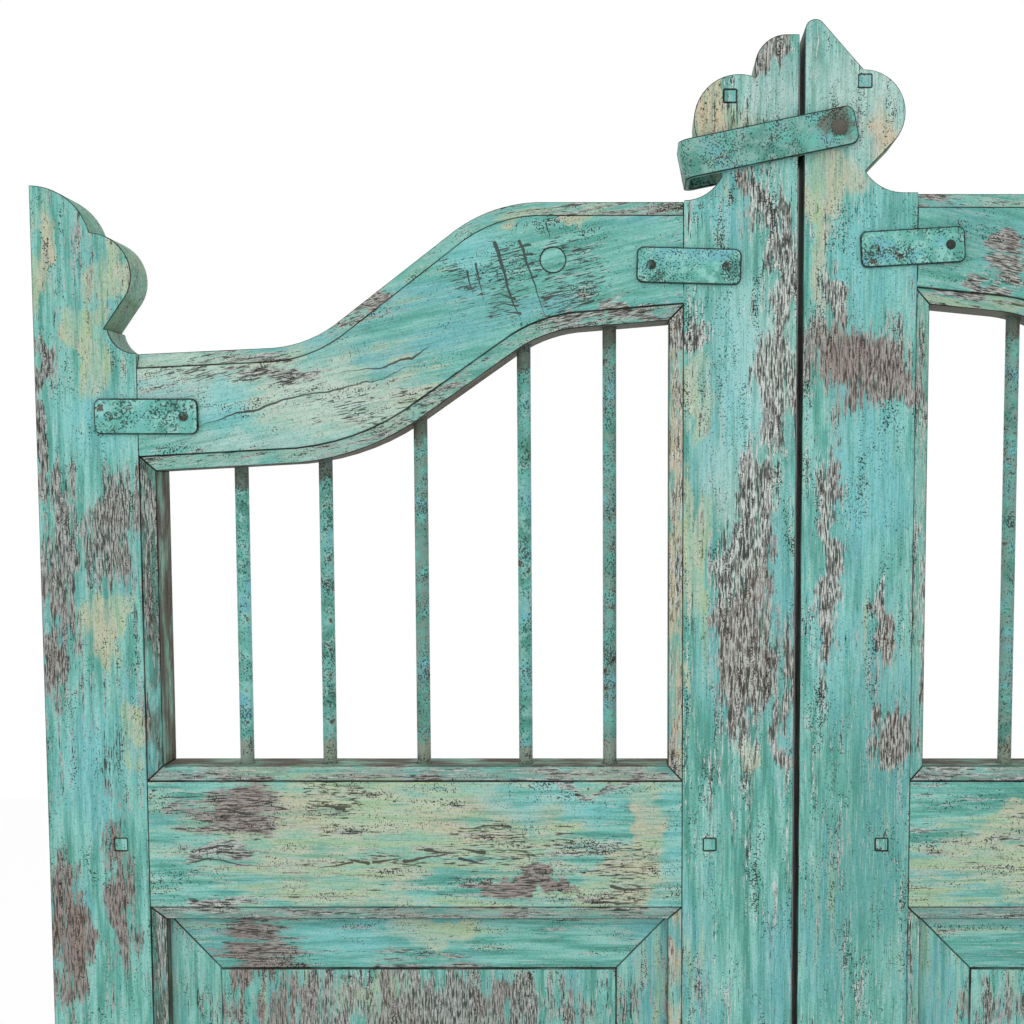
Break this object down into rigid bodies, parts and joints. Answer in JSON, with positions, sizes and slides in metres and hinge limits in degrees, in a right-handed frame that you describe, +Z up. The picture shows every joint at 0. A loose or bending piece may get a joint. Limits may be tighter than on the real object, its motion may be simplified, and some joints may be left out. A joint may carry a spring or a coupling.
{
  "type": "double gate door",
  "caption": "Pair of framed wooden gate doors with iron bars, S-curved top rails, sawn finials, fielded panels and a throw-over iron loop, on butt hinges.",
  "frame": {"origin": "on the floor line, midway between the leaves and midway through their thickness", "axes": "+X to the right seen from the front, +Y to the back, +Z up"},
  "size_m": [1.371, 0.0671, 1.353],
  "materials": {
    "painted_wood": "worn turquoise paint over weathered wood",
    "painted_iron": "turquoise paint, pitted and rusting",
    "bare_iron": "dark, lightly rusted"
  },
  "bodies": {
    "post_plates": {"left_upper_post_plate": "bare_iron", "left_lower_post_plate": "bare_iron", "left_upper_hinge_pin": "bare_iron", "left_lower_hinge_pin": "bare_iron", "right_upper_post_plate": "bare_iron", "right_lower_post_plate": "bare_iron", "right_upper_hinge_pin": "bare_iron", "right_lower_hinge_pin": "bare_iron"},
    "left_leaf": {"left_outer_stile": "painted_wood", "left_meeting_stile": "painted_wood", "left_top_rail": "painted_wood", "left_middle_rail": "painted_wood", "left_bottom_rail": "painted_wood", "left_panel": "painted_wood", "left_bar_1": "painted_iron", "left_bar_2": "painted_iron", "left_bar_3": "painted_iron", "left_bar_4": "painted_iron", "left_bar_5": "painted_iron", "left_outer_strap": "painted_iron", "left_inner_strap": "painted_iron", "left_strap_nails": "painted_iron", "left_pegs": "painted_wood", "left_upper_hinge_plate": "bare_iron", "left_lower_hinge_plate": "bare_iron", "left_hinge_screws": "bare_iron", "left_rail_plug": "painted_wood"},
    "right_leaf": {"right_outer_stile": "painted_wood", "right_meeting_stile": "painted_wood", "right_top_rail": "painted_wood", "right_middle_rail": "painted_wood", "right_bottom_rail": "painted_wood", "right_panel": "painted_wood", "right_bar_1": "painted_iron", "right_bar_2": "painted_iron", "right_bar_3": "painted_iron", "right_bar_4": "painted_iron", "right_bar_5": "painted_iron", "right_outer_strap": "painted_iron", "right_inner_strap": "painted_iron", "right_strap_nails": "painted_iron", "right_pegs": "painted_wood", "right_upper_hinge_plate": "bare_iron", "right_lower_hinge_plate": "bare_iron", "right_hinge_screws": "bare_iron", "loop_bolt": "bare_iron", "loop_nut": "bare_iron"},
    "loop": {"throw_loop": "painted_iron"}
  },
  "joints": [
    {"name": "left_leaf_swing", "type": "hinge", "parent": "post_plates", "child": "left_leaf", "pos_m": [-0.6795, 0.029, 0.53], "axis": [0, 0, 1], "range_deg": [0, 110]},
    {"name": "right_leaf_swing", "type": "hinge", "parent": "post_plates", "child": "right_leaf", "pos_m": [0.6795, 0.029, 0.53], "axis": [0, 0, -1], "range_deg": [0, 110]},
    {"name": "loop_throw", "type": "hinge", "parent": "right_leaf", "child": "loop", "pos_m": [0.0325, 0, 1.259], "axis": [0, 1, 0], "range_deg": [-6, 205]}
  ]
}
